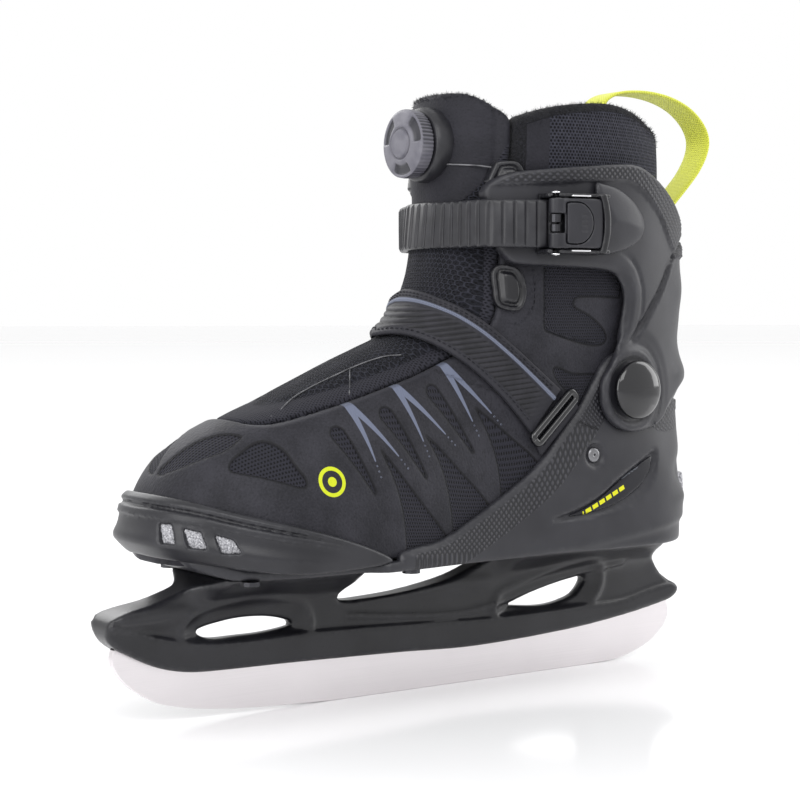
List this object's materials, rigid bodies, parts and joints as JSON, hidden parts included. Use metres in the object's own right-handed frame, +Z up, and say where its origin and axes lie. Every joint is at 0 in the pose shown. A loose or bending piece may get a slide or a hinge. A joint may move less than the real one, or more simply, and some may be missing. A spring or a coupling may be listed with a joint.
{
  "type": "soft boot ice skate",
  "caption": "Adult soft-boot recreational ice skate for the left foot, with hinged cuff, ratchet buckle, instep strap, dial lacing and a steel runner.",
  "frame": {"origin": "middle of the runner's flat running edge, on the ice", "axes": "+X towards the toe, +Y towards the outer side of this left skate, +Z up"},
  "size_m": [0.3333, 0.1198, 0.2794],
  "materials": {
    "runner_steel": "satin brushed",
    "fastener_steel": "satin",
    "chrome_pin": "polished",
    "holder_plastic": "semi-gloss moulded",
    "shell_plastic": "satin moulded with woven-look bands",
    "cap_gloss": "high gloss",
    "upper_fabric": "synthetic leather over mesh",
    "lining_plush": "plush",
    "strap_rubber": "ribbed matte",
    "reflector": "woven reflective",
    "webbing": "woven webbing",
    "knob_plastic": "satin moulded"
  },
  "bodies": {
    "boot": {"blade_holder": "holder_plastic", "blade_runner": "runner_steel", "boot_upper": "upper_fabric", "bumper_mesh_inner": "reflector", "bumper_mesh_outer": "reflector", "chassis": "shell_plastic", "flex_panel": "upper_fabric", "footbed": "upper_fabric", "heel_reflector": "reflector", "holder_bolt_1_inner": "fastener_steel", "holder_bolt_1_outer": "fastener_steel", "holder_bolt_2_inner": "fastener_steel", "holder_bolt_2_outer": "fastener_steel", "holder_bolt_3_inner": "fastener_steel", "holder_bolt_3_outer": "fastener_steel", "holder_bolt_4_inner": "fastener_steel", "holder_bolt_4_outer": "fastener_steel", "lace_cable": "fastener_steel", "pivot_bolt_inner": "fastener_steel", "pivot_bolt_outer": "fastener_steel", "power_strap": "strap_rubber", "ring_tab": "upper_fabric", "side_badge_inner": "cap_gloss", "side_badge_outer": "cap_gloss", "sole_stud_1_inner": "fastener_steel", "sole_stud_1_outer": "fastener_steel", "sole_stud_2_inner": "fastener_steel", "sole_stud_2_outer": "fastener_steel", "strap_ring": "cap_gloss", "toe_bumper": "holder_plastic", "tongue_lower": "upper_fabric", "wing_rivet_inner": "fastener_steel", "wing_rivet_outer": "fastener_steel"},
    "cuff": {"cuff": "shell_plastic", "collar": "lining_plush", "tongue_upper": "upper_fabric", "pivot_cap_outer": "cap_gloss", "pivot_cap_inner": "cap_gloss", "upper_guide_outer": "holder_plastic", "upper_guide_inner": "holder_plastic", "ankle_guide_outer": "holder_plastic", "ankle_guide_inner": "holder_plastic", "dial_cable_outer": "fastener_steel", "dial_cable_inner": "fastener_steel", "dial_base": "holder_plastic", "ratchet_strap": "strap_rubber", "anchor_screw": "chrome_pin", "buckle_base": "shell_plastic", "lever_pin": "chrome_pin", "lever_spring": "chrome_pin", "pull_loop": "webbing"},
    "dial_hub": {"dial_hub": "fastener_steel"},
    "dial_knob": {"dial_knob": "knob_plastic"},
    "dial_spool": {"dial_spool": "holder_plastic"},
    "buckle_lever": {"buckle_lever": "shell_plastic"},
    "release_button": {"release_button": "shell_plastic"},
    "pawl": {"pawl": "chrome_pin"}
  },
  "joints": [
    {"name": "cuff_flex", "type": "hinge", "parent": "boot", "child": "cuff", "pos_m": [-0.091, 0, 0.1355], "axis": [0, 1, 0], "range_deg": [0, 6], "stiffness_Nm_per_rad": 6, "springref_deg": -2.86, "deforming": ["flex_panel"]},
    {"name": "dial_pull", "type": "slide", "parent": "cuff", "child": "dial_hub", "axis": [1, 0, 0], "range_m": [0, 0.002]},
    {"name": "dial_turn", "type": "hinge", "parent": "dial_hub", "child": "dial_knob", "pos_m": [0.005, 0, 0.2465], "axis": [1, 0, 0], "continuous": true},
    {"name": "spool_turn", "type": "hinge", "parent": "cuff", "child": "dial_spool", "pos_m": [-0.003, 0, 0.2465], "axis": [1, 0, 0], "continuous": true},
    {"name": "lever_lift", "type": "hinge", "parent": "cuff", "child": "buckle_lever", "pos_m": [-0.03544, 0.05486, 0.21], "axis": [0, 0, -1], "range_deg": [0, 60], "stiffness_Nm_per_rad": 0.02, "springref_deg": -17.19},
    {"name": "button_press", "type": "slide", "parent": "buckle_lever", "child": "release_button", "axis": [-0.2164, -0.9763, 0], "range_m": [0, 0.001], "stiffness_N_per_m": 1500, "springref_m": -0.0004},
    {"name": "pawl_release", "type": "hinge", "parent": "buckle_lever", "child": "pawl", "pos_m": [-0.03544, 0.05486, 0.21], "axis": [0, 0, -1], "range_deg": [0, 12]}
  ],
  "couplings": [
    {"joint": "spool_turn", "follows": "dial_turn", "ratio": 1},
    {"joint": "pawl_release", "follows": "button_press", "rad_per_m": 200}
  ]
}
